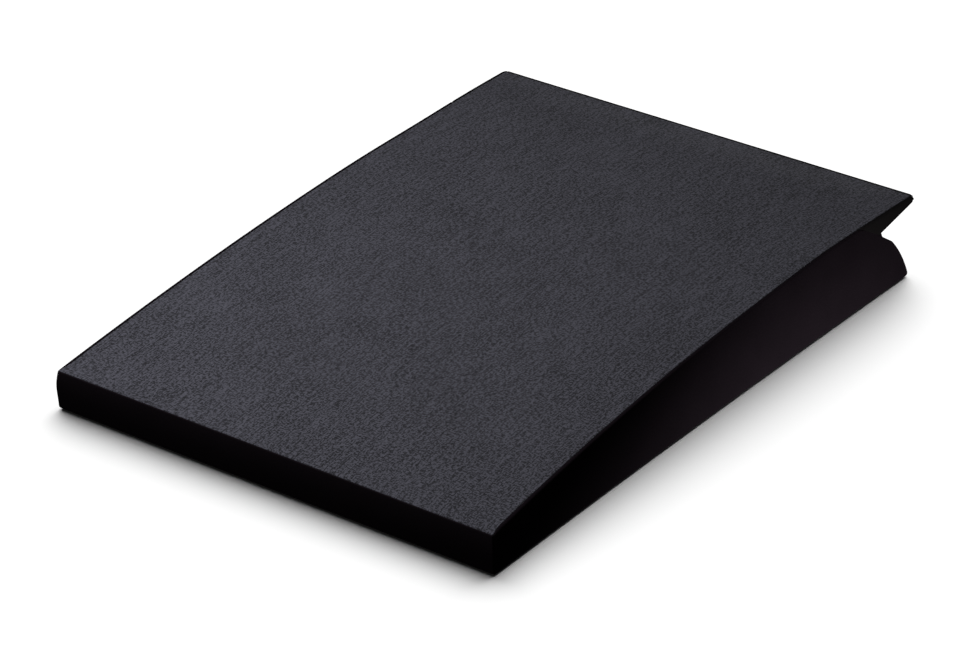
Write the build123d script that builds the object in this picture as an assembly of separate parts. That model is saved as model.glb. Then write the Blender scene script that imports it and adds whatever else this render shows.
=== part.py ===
from build123d import *
import os

# A slant board: a low foam wedge with a stiff top sheet, in a zipped cloth cover.
#
# The frame has its origin at the middle of the base, on the floor. X runs across the board,
# Y runs from the low edge (-Y) up to the tall end (+Y), and Z is up. Units are millimetres.
#
# Seen from the side, the top rises in one long gentle arc from the low edge. At the tall end
# it overhangs as a thin lip. A V-shaped groove under the lip runs right across the board, and
# below the groove the wedge ends in a rounded nose. Fingers go into the groove to lift it.

# Driving dimensions of the whole board
WIDTH = 500.0
LENGTH = 708.0
LOW_EDGE_HEIGHT = 42.2
TALL_END_HEIGHT = 84.7
TOP_CROWN = 15.6  # how far the top arc rises above its chord
WAIST = 4.3  # how far each long side is drawn in at mid-length

# The tall end, as distances from the low edge and heights above the floor
LIP_EDGE = 4.0  # thickness of the lip at its tip
LIP_RADIUS = 1.6
GROOVE_ROOT = (643.0, 67.0)
NOSE_SHOULDER = (667.0, 51.0)
NOSE_SHOULDER_RADIUS = 12.0
NOSE_HEEL_STATION = 699.0
NOSE_BULGE = 3.0
HEEL_RADIUS = 3.5
TOE_RADIUS = 4.0

# The cover, and the layers under it
CLOTH = 1.0
BOARD = 2.0  # thickness of the stiff top sheet
BOARD_SHORT = 2.0  # the sheet stops this far short of the cover at each end
BOARD_NARROW = 4.0  # and this far short of it at each side
LAYER_JOIN_HEIGHT = 18.0  # where the two foam layers meet at the low edge
LIP_JOIN_STATION = 613.0  # where the join of the lip wedge comes up to the top
LIP_FOAM_SHORT = 6.0  # the lip wedge stops this far short of the lip's tip

# Two hook-and-loop tapes in the foam join hold the cover down into the groove's root
ANCHOR_LENGTH = 460.0
ANCHOR_WIDTH = 25.0
ANCHOR_TAPE = 1.2
ANCHOR_START = 1.5

# Grip strips under the base
GRIP_HEIGHT = 1.0
GRIP_LENGTH = 440.0
GRIP_WIDTH = 16.0
GRIP_PITCH = 105.0
GRIP_COUNT = 7

# The zip across the nose
ZIP_SLOT_LENGTH = 456.0
ZIP_SLOT_HALF = 6.0
TAPE = 0.6
TAPE_HALF_LENGTH = 236.0
TAPE_REACH = 14.0
TAPE_GAP_HALF = 0.6
COIL_WIDTH = 2.4
COIL_HEIGHT = 2.0
STOP_LENGTH = 3.0
STOP_HEIGHT = 2.6
STOP_REACH = 3.3

# The zip's slider and its pull
SLIDER_AT = 215.0  # the slider's place when the zip is closed
SLIDER_TRAVEL = 430.0
SLIDER_LENGTH = 12.0
SLIDER_HALF_WIDTH = 4.6
SLIDER_CORNER = 1.8
SLIDER_PLATE = 1.0
SLIDER_EDGE = 0.35  # rounding of the outer edges of its plates
SLIDER_PLAY = 0.25
FLANGE = 0.8
FLANGE_GAP = 0.3  # between a flange's edge and the tape
NECK_LENGTH = 3.5
NECK_HALF = 0.4
CROWN_LENGTH = 5.0
CROWN_HALF = 0.8
CROWN_WALL = 0.8
BAR_RADIUS = 0.8
BAR_PLAY = 0.05
BAR_RISE = 1.1  # the bar's middle above the slider's top plate
PULL_LENGTH = 28.0
PULL_HEAD_HALF = 2.6
PULL_TAIL_HALF = 4.4
PULL_THICKNESS = 1.4
PULL_CORNER = 1.5
PULL_EDGE = 0.3  # rounding of the edges of its two flat faces
PULL_EYE_LENGTH = 6.5
PULL_EYE_HALF = 1.25
PULL_HOLE_RADIUS = 1.8
PULL_HOLE_AT = 23.5

# Worked-out places
HALF_WIDTH = WIDTH / 2
HALF_LENGTH = LENGTH / 2
ABOVE = 200.0  # clear above everything in the side view
BEYOND = 60.0  # clear beyond everything in the side view
POCKET_PLAY = 0.3


def at(station, height):
    """A point of the side view, from its distance to the low edge and its height."""
    return (station - HALF_LENGTH, height)


def along(start, end, share, rise=0.0):
    """A point at a share of a side-view line, moved to the left of the line by rise."""
    run = Vector(end[0] - start[0], end[1] - start[1])
    left = Vector(-run.Y, run.X).normalized()
    point = Vector(*start) + run * share + left * rise
    return (point.X, point.Y)


FRONT_BOTTOM = at(0, GRIP_HEIGHT)
FRONT_TOP = at(0, LOW_EDGE_HEIGHT)
TIP_TOP = at(LENGTH, TALL_END_HEIGHT)
TIP_BOTTOM = at(LENGTH, TALL_END_HEIGHT - LIP_EDGE)
ROOT = at(*GROOVE_ROOT)
SHOULDER = at(*NOSE_SHOULDER)
HEEL = at(NOSE_HEEL_STATION, GRIP_HEIGHT)
TOP_MIDDLE = along(FRONT_TOP, TIP_TOP, 0.5, TOP_CROWN)
NOSE_MIDDLE = along(SHOULDER, HEEL, 0.5, NOSE_BULGE)
JOIN_FRONT = at(0, LAYER_JOIN_HEIGHT)
LIP_JOIN_TOP = at(LIP_JOIN_STATION, TALL_END_HEIGHT)

# Points inside the wedge that the cuts between the cover's panels run to
INSIDE_TOE = at(20, 21)
INSIDE_LIP = at(650, 80)
INSIDE_NOSE = at(640, 45)

# The top arc's circle
TOP_CHORD = Vector(*TIP_TOP) - Vector(*FRONT_TOP)
TOP_RADIUS = (TOP_CHORD.length**2 / 4 + TOP_CROWN**2) / (2 * TOP_CROWN)
TOP_CENTRE = along(FRONT_TOP, TIP_TOP, 0.5, TOP_CROWN - TOP_RADIUS)

# The zip's plane lies on the middle of the nose: its x runs along the zip, its y runs
# down the nose, and its z points out of the board.
NOSE_RUN = (Vector(*HEEL) - Vector(*SHOULDER)).normalized()
ZIP_PLANE = Plane(
    origin=(0, *NOSE_MIDDLE), x_dir=(1, 0, 0), z_dir=(0, -NOSE_RUN.Y, NOSE_RUN.X)
)
TAPE_FACE = -CLOTH
COIL_TOP = TAPE_FACE + COIL_HEIGHT
PLATE_BOTTOM = COIL_TOP + SLIDER_PLAY
PLATE_TOP = PLATE_BOTTOM + SLIDER_PLATE
BACK_PLATE_TOP = TAPE_FACE - TAPE - SLIDER_PLAY
BACK_PLATE_BOTTOM = BACK_PLATE_TOP - SLIDER_PLATE
BAR_HEIGHT = PLATE_TOP + BAR_RISE
TOP_STOP_START = SLIDER_AT + SLIDER_LENGTH / 2 + SLIDER_PLAY
BOTTOM_STOP_END = SLIDER_AT - SLIDER_TRAVEL - SLIDER_LENGTH / 2 - SLIDER_PLAY


def side_face(*points):
    """A face of the side view with straight edges through these points."""
    return make_face(Polyline(*points, close=True))


def round_corner(face, place, radius):
    """Rounds the corner of a side-view face that is nearest to a place."""
    corner = face.vertices().sort_by_distance((*place, 0))[0]
    return fillet(corner, radius)


def inset(depth):
    """The side view of everything deeper than this under the cover's outer face."""
    outline = [
        Line(FRONT_BOTTOM, FRONT_TOP),
        ThreePointArc(FRONT_TOP, TOP_MIDDLE, TIP_TOP),
        Line(TIP_TOP, TIP_BOTTOM),
        Line(TIP_BOTTOM, ROOT),
        Line(ROOT, SHOULDER),
        ThreePointArc(SHOULDER, NOSE_MIDDLE, HEEL),
        Line(HEEL, FRONT_BOTTOM),
    ]
    face = make_face(outline)
    if depth > 0:
        face = offset(face, -depth, kind=Kind.ARC)
    corners = [
        (FRONT_BOTTOM, TOE_RADIUS),
        (SHOULDER, NOSE_SHOULDER_RADIUS),
        (HEEL, HEEL_RADIUS),
        (TIP_TOP, LIP_RADIUS),
        (TIP_BOTTOM, LIP_RADIUS),
    ]
    for place, radius in corners:
        if radius > depth:
            face = round_corner(face, place, radius - depth)
    return face


def below_top(depth):
    """The side view of everything deeper than this under the top arc."""
    return Pos(*TOP_CENTRE) * Circle(TOP_RADIUS - depth)


def plan(half_width):
    """A tall block with the board's waisted plan, drawn in by one large arc on each side."""
    radius = (HALF_LENGTH**2 + WAIST**2) / (2 * WAIST)
    block = Box(2 * half_width + BEYOND, LENGTH + BEYOND, ABOVE * 2)
    for sign in (-1, 1):
        centre = sign * (half_width - WAIST + radius)
        block -= Pos(centre, 0, 0) * Cylinder(radius, ABOVE * 3)
    return block


COVERED = inset(0)
UNCOVERED = inset(CLOTH)
INNER_PLAN = plan(HALF_WIDTH - CLOTH)


def across(face, half_width=HALF_WIDTH):
    """A side-view face drawn out across the board."""
    return extrude(Plane.YZ * face, half_width, both=True)


def fitted(face, bounds=INNER_PLAN):
    """A side-view face drawn out across the board and trimmed inside the side panels."""
    return across(face) & bounds


def zip_block(x_span, y_span, z_span):
    """A block in the zip's plane, from its lowest and highest values each way."""
    spans = (x_span, y_span, z_span)
    size = [high - low for low, high in spans]
    middle = [(low + high) / 2 for low, high in spans]
    return ZIP_PLANE * Pos(*middle) * Box(*size)


def both_sides(low, high):
    """A span on the lower side of the zip, and its mirror on the upper side."""
    return {"lower": (low, high), "upper": (-high, -low)}


def panel_regions():
    """Where each panel that runs across the board lies in the side view."""
    front = FRONT_TOP[0] - BEYOND
    rear = TIP_TOP[0] + BEYOND
    floor = -BEYOND
    zip_outside = along(SHOULDER, HEEL, 0.5, BEYOND)
    zip_inside = along(SHOULDER, HEEL, 0.5, -BEYOND / 3)
    return {
        "top_panel": side_face(
            FRONT_TOP,
            INSIDE_TOE,
            INSIDE_LIP,
            TIP_BOTTOM,
            (rear, TIP_BOTTOM[1]),
            (rear, ABOVE),
            (front, ABOVE),
        ),
        "front_panel": side_face(
            FRONT_TOP, (front, ABOVE), (front, floor), FRONT_BOTTOM, INSIDE_TOE
        ),
        "base_panel": side_face(
            FRONT_BOTTOM, (front, floor), (rear, floor), HEEL, INSIDE_NOSE, INSIDE_TOE
        ),
        "rear_lower_panel": side_face(
            HEEL, (rear, floor), zip_outside, zip_inside, INSIDE_NOSE
        ),
        "rear_upper_panel": side_face(
            ROOT, INSIDE_NOSE, zip_inside, zip_outside, (rear, ROOT[1])
        ),
        "lip_panel": side_face(
            ROOT, (rear, ROOT[1]), (rear, TIP_BOTTOM[1]), TIP_BOTTOM, INSIDE_LIP, INSIDE_NOSE
        ),
    }


def crossing_panels():
    """The cover's panels that run across the board, with the zip's slot between two."""
    half = ZIP_SLOT_LENGTH / 2
    slot = zip_block((-half, half), (-ZIP_SLOT_HALF, ZIP_SLOT_HALF), (-BEYOND / 3, BEYOND / 3))
    rind = COVERED - UNCOVERED
    panels = {name: fitted(rind & region) for name, region in panel_regions().items()}
    for name in ("rear_lower_panel", "rear_upper_panel"):
        panels[name] -= slot
    return panels


def side_panels():
    """Each side's long panel, and the gusset that closes the lip's end."""
    rind = (across(COVERED) & plan(HALF_WIDTH)) - INNER_PLAN
    join_end = along(ROOT, LIP_JOIN_TOP, 2.0)
    lip_end = across(
        side_face(ROOT, (TIP_TOP[0] + BEYOND, ROOT[1]), (TIP_TOP[0] + BEYOND, ABOVE), join_end)
    )
    pieces = {}
    for side, sign in (("left", -1), ("right", 1)):
        half = Pos(sign * WIDTH / 2, 0, 0) * Box(WIDTH, LENGTH + BEYOND, ABOVE)
        pieces[f"{side}_side_panel"] = (rind & half) - lip_end
        pieces[f"{side}_lip_gusset"] = rind & half & lip_end
    return pieces


def top_board():
    """The stiff sheet that keeps the top flat and carries the lip."""
    middle = Pos(0, ABOVE / 2) * Rectangle(LENGTH - 2 * (CLOTH + BOARD_SHORT), ABOVE)
    layer = (UNCOVERED - below_top(CLOTH + BOARD)) & above_join() & middle
    return {"top_board": fitted(layer, plan(HALF_WIDTH - CLOTH - BOARD_NARROW))}


def above_join():
    """The side view above the join between the two foam layers."""
    front = FRONT_TOP[0] - BEYOND
    rear = TIP_TOP[0] + BEYOND
    return side_face(
        along(JOIN_FRONT, ROOT, -BEYOND / LENGTH),
        ROOT,
        (rear, ROOT[1]),
        (rear, ABOVE),
        (front, ABOVE),
    )


def anchor_tapes():
    """The hook tape sewn to the cover at the groove's root, and the loop tape it grips."""
    run = (Vector(*JOIN_FRONT) - Vector(*ROOT)).normalized()
    join_plane = Plane(origin=(0, *ROOT), x_dir=(-1, 0, 0), z_dir=(0, run.Y, -run.X))
    middle = ANCHOR_START + ANCHOR_WIDTH / 2
    tapes = {}
    for layer, name in enumerate(("root_hook_tape", "root_loop_tape")):
        depth = -(layer + 0.5) * ANCHOR_TAPE
        tape = Box(ANCHOR_LENGTH, ANCHOR_WIDTH, ANCHOR_TAPE)
        tapes[name] = join_plane * Pos(0, middle, depth) * tape
    return tapes


def foams(anchors):
    """The firm base, the softer layer on it, and the wedge that fills the lip."""
    under_board = UNCOVERED & below_top(CLOTH + BOARD)
    lip_side = side_face(
        ROOT, (TIP_TOP[0], ROOT[1]), (TIP_TOP[0], ABOVE), along(ROOT, LIP_JOIN_TOP, 2.0)
    )
    tip = Pos(TIP_TOP[0], 0) * Rectangle(2 * LIP_FOAM_SHORT, ABOVE)
    upper = under_board & above_join()

    base = fitted(UNCOVERED - above_join())
    for tape in anchors.values():
        base -= tape
    pocket_half = TAPE_HALF_LENGTH + POCKET_PLAY
    sewn_in = zip_block(
        (-pocket_half, pocket_half),
        (-TAPE_REACH - POCKET_PLAY, TAPE_REACH + POCKET_PLAY),
        (-BEYOND / 3, BEYOND / 3),
    )
    base -= across(UNCOVERED - inset(CLOTH + TAPE)) & sewn_in
    channel_half = SLIDER_HALF_WIDTH + POCKET_PLAY
    base -= zip_block(
        (BOTTOM_STOP_END, TOP_STOP_START),
        (-channel_half, channel_half),
        (BACK_PLATE_BOTTOM - POCKET_PLAY, 0),
    )
    return {
        "base_foam": base,
        "upper_foam": fitted(upper - lip_side),
        "lip_foam": fitted((upper & lip_side) - tip),
    }


def grip_strips():
    """Thin rubber strips across the underside of the base panel, as one group."""
    strip = extrude(SlotOverall(GRIP_LENGTH, GRIP_WIDTH), GRIP_HEIGHT)
    places = GridLocations(0, GRIP_PITCH, 1, GRIP_COUNT)
    return {"grip_strips": Compound([place * strip for place in places])}


def zip_chain():
    """The zip's two tapes and coils, with the stops at its ends."""
    parts = {}
    ring = across(UNCOVERED - inset(CLOTH + TAPE))
    length = (-TAPE_HALF_LENGTH, TAPE_HALF_LENGTH)
    coil_end = TAPE_GAP_HALF + COIL_WIDTH
    stops = []
    for side, span in both_sides(TAPE_GAP_HALF, TAPE_REACH).items():
        parts[f"zip_tape_{side}"] = ring & zip_block(length, span, (-BEYOND / 3, 0))
    for side, span in both_sides(TAPE_GAP_HALF, coil_end).items():
        parts[f"zip_coil_{side}"] = zip_block(
            (BOTTOM_STOP_END, TOP_STOP_START), span, (TAPE_FACE, COIL_TOP)
        )
    for span in both_sides(TAPE_GAP_HALF, STOP_REACH).values():
        stops.append(
            zip_block(
                (TOP_STOP_START, TOP_STOP_START + STOP_LENGTH),
                span,
                (TAPE_FACE, TAPE_FACE + STOP_HEIGHT),
            )
        )
    parts["zip_top_stops"] = Compound(stops)
    parts["zip_bottom_stop"] = zip_block(
        (BOTTOM_STOP_END - STOP_LENGTH, BOTTOM_STOP_END),
        (-STOP_REACH, STOP_REACH),
        (TAPE_FACE, TAPE_FACE + STOP_HEIGHT),
    )
    return parts


def zip_slider():
    """The slider: two plates joined by a neck, flanges round the coils, and a crown."""
    plate = extrude(RectangleRounded(SLIDER_LENGTH, 2 * SLIDER_HALF_WIDTH, SLIDER_CORNER), SLIDER_PLATE)
    plate = fillet(plate.edges().group_by(Axis.Z)[-1], SLIDER_EDGE)
    place = ZIP_PLANE * Pos(SLIDER_AT, 0, 0)
    start = SLIDER_AT - SLIDER_LENGTH / 2
    end = SLIDER_AT + SLIDER_LENGTH / 2
    body = place * Pos(0, 0, PLATE_BOTTOM) * plate
    body += place * Pos(0, 0, BACK_PLATE_TOP) * Rot(180, 0, 0) * plate
    body += zip_block((end - NECK_LENGTH, end), (-NECK_HALF, NECK_HALF), (BACK_PLATE_TOP, PLATE_BOTTOM))
    for span in both_sides(SLIDER_HALF_WIDTH - FLANGE, SLIDER_HALF_WIDTH).values():
        body += zip_block(
            (start + SLIDER_CORNER, end - SLIDER_CORNER), span, (TAPE_FACE + FLANGE_GAP, PLATE_BOTTOM)
        )
    crown_height = BAR_HEIGHT + BAR_RADIUS + BAR_PLAY + CROWN_WALL - PLATE_TOP
    crown_side = Rectangle(CROWN_LENGTH, crown_height, align=(Align.CENTER, Align.MIN))
    crown_side = fillet(crown_side.vertices().group_by(Axis.Y)[-1], CROWN_LENGTH / 3)
    crown_side -= Pos(0, BAR_RISE) * Circle(BAR_RADIUS + BAR_PLAY)
    upright = Plane(origin=(0, 0, PLATE_TOP), x_dir=(1, 0, 0), z_dir=(0, -1, 0))
    body += place * extrude(upright * crown_side, CROWN_HALF, both=True)
    return {"zip_slider": body}


def zip_pull():
    """The pull, lying flat along the zip, with the bar that turns in the crown."""
    outline = side_face(
        (0, -PULL_HEAD_HALF),
        (0, PULL_HEAD_HALF),
        (-PULL_LENGTH, PULL_TAIL_HALF),
        (-PULL_LENGTH, -PULL_TAIL_HALF),
    )
    outline = fillet(outline.vertices().group_by(Axis.X)[0], PULL_CORNER * 2)
    eye = Pos(-PULL_EYE_LENGTH / 2, 0) * Rectangle(PULL_EYE_LENGTH, 2 * PULL_EYE_HALF)
    outline -= eye
    outline -= Pos(-PULL_HOLE_AT, 0) * Circle(PULL_HOLE_RADIUS)
    tab = extrude(outline, PULL_THICKNESS / 2, both=True)
    levels = tab.edges().group_by(Axis.Z)
    tab = fillet(levels[0] + levels[-1], PULL_EDGE)
    bar = Rot(90, 0, 0) * Cylinder(BAR_RADIUS, 2 * PULL_HEAD_HALF)
    return {"zip_pull": ZIP_PLANE * Pos(SLIDER_AT, 0, BAR_HEIGHT) * (tab + bar)}


def main():
    anchors = anchor_tapes()
    nodes = {
        **crossing_panels(),
        **side_panels(),
        **top_board(),
        **anchors,
        **foams(anchors),
        **grip_strips(),
        **zip_chain(),
        **zip_slider(),
        **zip_pull(),
    }
    os.makedirs("parts", exist_ok=True)
    for name, shape in nodes.items():
        export_step(shape, f"parts/{name}.step")
    turn = ZIP_PLANE.y_dir
    pivot = ZIP_PLANE.origin + ZIP_PLANE.z_dir * BAR_HEIGHT
    print("pull's axis", [round(value, 6) for value in turn])
    print("pull's pivot in metres", SLIDER_AT / 1000, round(pivot.Y / 1000, 6), round(pivot.Z / 1000, 6))


main()
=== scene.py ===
import math

import bpy
import numpy as np
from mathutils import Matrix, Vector


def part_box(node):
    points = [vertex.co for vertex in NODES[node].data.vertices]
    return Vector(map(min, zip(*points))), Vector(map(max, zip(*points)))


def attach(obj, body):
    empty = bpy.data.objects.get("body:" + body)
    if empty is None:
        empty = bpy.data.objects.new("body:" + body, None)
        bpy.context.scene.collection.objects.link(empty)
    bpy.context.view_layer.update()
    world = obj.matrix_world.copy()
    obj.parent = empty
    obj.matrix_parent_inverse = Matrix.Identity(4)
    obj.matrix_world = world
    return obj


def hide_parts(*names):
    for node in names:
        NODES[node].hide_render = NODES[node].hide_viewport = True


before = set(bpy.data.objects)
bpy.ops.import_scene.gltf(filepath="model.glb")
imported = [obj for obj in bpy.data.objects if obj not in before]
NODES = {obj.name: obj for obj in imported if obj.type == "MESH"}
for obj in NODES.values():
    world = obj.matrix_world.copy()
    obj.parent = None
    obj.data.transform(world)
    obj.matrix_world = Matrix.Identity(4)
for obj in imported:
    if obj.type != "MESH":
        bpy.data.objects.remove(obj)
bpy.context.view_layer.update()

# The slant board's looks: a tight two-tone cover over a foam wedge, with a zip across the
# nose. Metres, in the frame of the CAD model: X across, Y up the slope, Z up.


# ---- places from the frame ----

def points_of(mesh):
    """The points of a mesh."""
    return np.array([vertex.co for vertex in mesh.vertices])


def height_of(name, y):
    """Height of a CAD node's upper side on the board's centreline."""
    graph = bpy.context.evaluated_depsgraph_get()
    found = NODES[name].ray_cast(Vector((0, y, 1)), Vector((0, 0, -1)), depsgraph=graph)
    return found[1].z


def box_centre(name):
    """The middle of a CAD node's box."""
    low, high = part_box(name)
    return (low + high) / 2


def unit(vectors):
    """One vector or rows of them, made one long."""
    return vectors / np.linalg.norm(vectors, axis=-1, keepdims=True)


LIP_EDGE = 0.0054  # thickness of the lip at its tip
LIP_RADIUS = 0.0016
TOE_RADIUS = 0.004
HEEL_RADIUS = 0.0035
SHOULDER_RADIUS = 0.012
FRONT_RADIUS = 0.0022  # rounding of the cover's upper front edge
EDGE = 0.0018  # rounding of the cover's long edges

HALF_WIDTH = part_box("right_side_panel")[1].x
LOW_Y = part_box("front_panel")[0].y
HIGH_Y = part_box("top_panel")[1].y
BASE_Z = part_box("right_side_panel")[0].z
LOW_EDGE_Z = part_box("front_panel")[1].z
TALL_Z = height_of("top_panel", HIGH_Y - 2 * LIP_RADIUS)
MIDDLE_Y = (LOW_Y + HIGH_Y) / 2
LENGTH = HIGH_Y - LOW_Y
CROWN = height_of("top_panel", MIDDLE_Y) - (LOW_EDGE_Z + TALL_Z) / 2
GUSSET_POINTS = points_of(NODES["right_lip_gusset"].data)
ROOT = GUSSET_POINTS[GUSSET_POINTS[:, 2].argmin()][1:]
JOIN_Y = GUSSET_POINTS[:, 1].min()
JOIN_FRONT = np.array([LOW_Y, 0.018])  # where the foam join meets the low edge

UPPER_COIL, LOWER_COIL = box_centre("zip_coil_upper"), box_centre("zip_coil_lower")
ZIP_MIDDLE = np.array((UPPER_COIL + LOWER_COIL) / 2)
ZIP_DOWN = np.array((LOWER_COIL - UPPER_COIL).normalized())
ZIP_OUT = np.array([0, -ZIP_DOWN[2], ZIP_DOWN[1]])
ZIP_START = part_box("zip_bottom_stop")[1].x
ZIP_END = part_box("zip_top_stops")[0].x
SHOULDER = np.array([HIGH_Y - 0.041, 0.051])
HEEL = np.array([HIGH_Y - 0.009, BASE_Z])

# How the soft cover leaves the plain wedge
FLARE = 0.0013  # the foot is wider than the top
LIP_NARROW = 0.0010
WAIST_TOP = 0.0043
WAIST_BOTTOM = 0.0024
PINCH = 0.0018  # the top edges draw in further behind the lip
PINCH_AT = 0.20
PINCH_REACH = 0.075
FRONT_SWELL = 0.0016
CORNER_SWELL = 0.0013
CORNER_REACH = 0.09

# Cover seams
THICKNESS = 0.0008
SEAM_DEPTH = 0.0006
SEAM_ROLL = 0.0011
SEAM_INSET = 0.0014  # the fine strip of mesh beside a seam within a side
FOLD_END = math.radians(53)
WRAP = 0.0016  # the black cloth also covers this much of the top beside its edges
WRAP_START = 0.012
HELD_STRIP = 0.0055
PRESSURE = 1.5  # of the foam under the front and the sides
TOP_PRESSURE = 0.4  # the stiff sheet keeps most of it off the top
SETTLE_FRAMES = 12
SETTLE_MOST = 0.0009
TIP_WRAP = 0.0032
CORNER_RADIUS = 0.0075  # the lip's corners, seen from above
ROOT_TUCK = 0.0012
PITCH = 0.008  # mesh spacing over the large faces
CLOSEST = 0.00008
CORNER_POINTS = 9  # round each corner of the outline
BORDER = (0.0, 0.00012, 0.0003, 0.0005, 0.0007, 0.0009, 0.0011, 0.0016, 0.003)


def smooth(value):
    """Goes from 0 to 1 with level ends."""
    value = np.clip(value, 0, 1)
    return value * value * (3 - 2 * value)


def top_height(y):
    """Height of the top surface."""
    t = (np.asarray(y) - LOW_Y) / LENGTH
    return LOW_EDGE_Z + (TALL_Z - LOW_EDGE_Z) * t + 4 * CROWN * t * (1 - t)


def height_share(y, z):
    """0 at the base and 1 at the top surface."""
    return np.clip((z - BASE_Z) / (top_height(y) - BASE_Z), 0, 1)


def swell(share):
    """How the front and its corners stand out with height: nothing at the seams."""
    return np.sin(math.pi * np.clip(share, 0, 1) ** 1.5)


def half_width(y, z):
    """Half the cover's width at a place in the side view."""
    share = height_share(y, z)
    bow = 1 - ((y - MIDDLE_Y) / (LENGTH / 2)) ** 2
    waist = (WAIST_BOTTOM + (WAIST_TOP - WAIST_BOTTOM) * share) * bow
    pinch = PINCH * share**2 * np.exp(-(((y - PINCH_AT) / PINCH_REACH) ** 2))
    corner = CORNER_SWELL * swell(share) * np.exp(-(y - LOW_Y) / CORNER_REACH)
    foot = FLARE * (1 - share)
    lip = LIP_NARROW * share**4 * smooth((y - PINCH_AT) / (HIGH_Y - PINCH_AT))
    return HALF_WIDTH - waist - pinch - lip + corner + foot


# ---- the side view's outline ----

def left_of(ways):
    """Directions turned left by a right angle, which is out of a clockwise outline."""
    return np.stack([-ways[..., 1], ways[..., 0]], axis=-1)


def straight(start, end):
    return np.array([start, end], float)


def arc(start, through, end, count):
    """Points of the circle arc through three points."""
    a, b, c = (np.array(point, float) for point in (start, through, end))
    rows = 2 * np.array([b - a, c - a])
    centre = np.linalg.solve(rows, [b @ b - a @ a, c @ c - a @ a])
    radius = np.linalg.norm(a - centre)
    first, last = (math.atan2(*(point - centre)[::-1]) for point in (a, c))
    angles = np.linspace(first, last, count)
    return centre + radius * np.column_stack([np.cos(angles), np.sin(angles)])


def rounded(before, after, radius):
    """Rounds the corner between two runs. Returns the cut runs and the corner's arc."""
    corner = before[-1]
    way_in, way_out = unit(corner - before[-2]), unit(after[1] - corner)
    turn = math.acos(np.clip(way_in @ way_out, -1, 1))
    cut = radius * math.tan(turn / 2)
    side = math.copysign(1, way_in[0] * way_out[1] - way_in[1] * way_out[0])
    start = corner - way_in * cut
    centre = start + side * radius * left_of(way_in)
    spoke = start - centre
    points = []
    for angle in side * np.linspace(0, turn, CORNER_POINTS):
        cos, sin = math.cos(angle), math.sin(angle)
        points.append(centre + (spoke[0] * cos - spoke[1] * sin, spoke[0] * sin + spoke[1] * cos))
    before = before[np.linalg.norm(before - corner, axis=1) > cut * 1.02]
    after = after[np.linalg.norm(after - corner, axis=1) > cut * 1.02]
    return np.vstack([before, points[0]]), np.array(points), np.vstack([points[-1], after])


class Path:
    """A run of the side view's outline, with its length and its outward direction."""

    def __init__(self, *runs):
        points = np.vstack(runs)
        step = np.linalg.norm(np.diff(points, axis=0), axis=1)
        keep = np.concatenate([[True], step > 1e-6])
        self.points = points[keep]
        step = np.linalg.norm(np.diff(self.points, axis=0), axis=1)
        self.reach = np.concatenate([[0], np.cumsum(step)])
        self.length = self.reach[-1]
        self.out = unit(left_of(np.gradient(self.points, self.reach, axis=0)))

    def at(self, reach):
        """Points and outward directions at these lengths along the run."""
        columns = np.hstack([self.points, self.out]).T
        values = np.column_stack([np.interp(reach, self.reach, column) for column in columns])
        return values[:, :2], unit(values[:, 2:])

    def split(self, reach):
        """The parts before and after a length along the run."""
        middle = self.at(np.array([reach]))[0]
        before = self.points[self.reach < reach - 1e-7]
        after = self.points[self.reach > reach + 1e-7]
        return Path(before, middle), Path(middle, after)

    def split_at_y(self, y):
        """The parts before and after a place along the board, on a run that goes one way."""
        return self.split(np.interp(y, self.points[:, 0], self.reach))

    def stations(self):
        """Lengths for a mesh: fine at both ends and round the arcs, coarser between."""
        border = np.array(BORDER)
        inner = np.linspace(0, self.length, max(2, round(self.length / PITCH) + 1))
        marks = np.concatenate([border, self.length - border, self.reach, inner])
        marks = np.unique(np.clip(marks, 0, self.length).round(7))
        kept = [marks[0]]
        for mark in marks[1:]:
            if mark - kept[-1] > CLOSEST:
                kept.append(mark)
        kept[-1] = self.length
        return np.array(kept)


def outline():
    """The rounded outline, as the paths of the panels that run across the board."""
    rise = np.linspace(0, 1, 13)
    front = np.column_stack(
        [LOW_Y - FRONT_SWELL * swell(rise), BASE_Z + (LOW_EDGE_Z - BASE_Z) * rise]
    )
    top_y = np.linspace(LOW_Y, HIGH_Y, 89)
    top = np.column_stack([top_y, top_height(top_y)])
    tip_bottom = np.array([HIGH_Y, top[-1][1] - LIP_EDGE])
    tip = straight(top[-1], tip_bottom)
    lip = straight(tip_bottom, ROOT)
    slope = straight(ROOT, SHOULDER)
    nose = arc(SHOULDER, ZIP_MIDDLE[1:], HEEL, 25)
    base = straight(HEEL, (LOW_Y, BASE_Z))

    base, toe_arc, front = rounded(base, front, TOE_RADIUS)
    front, edge_arc, top = rounded(front, top, FRONT_RADIUS)
    top, tip_arc, tip = rounded(top, tip, LIP_RADIUS)
    tip, under_arc, lip = rounded(tip, lip, LIP_RADIUS)
    slope, shoulder_arc, nose = rounded(slope, nose, SHOULDER_RADIUS)
    nose, heel_arc, base = rounded(nose, base, HEEL_RADIUS)

    half = CORNER_POINTS // 2 + 1  # up to a corner's middle, counted from either end
    top, turned = Path(edge_arc[half - 1:], top).split_at_y(HIGH_Y - TIP_WRAP)
    return {
        "front": Path(toe_arc[half - 1:], front, edge_arc[:half]),
        "top": top,
        "lip": Path(turned.points, tip_arc, tip, under_arc, lip),
        "rear": Path(slope, shoulder_arc, nose, heel_arc[:half]),
        "base": Path(heel_arc[half - 1:], base, toe_arc[:half]),
    }


PATHS = outline()
OUTLINE = np.vstack([PATHS[name].points[:-1] for name in ("front", "top", "lip", "rear", "base")])


def cloth_turn(points, out):
    """How far the side's cloth turns over the board's edge before its seam."""
    # over is 1 where the edge faces up, and fades out towards the low end
    over = smooth((out[:, 1] - 0.2) / 0.6) * smooth((points[:, 0] - LOW_Y) / WRAP_START)
    return EDGE * (math.pi / 2 - FOLD_END * (1 - over)) + WRAP * over


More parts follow.
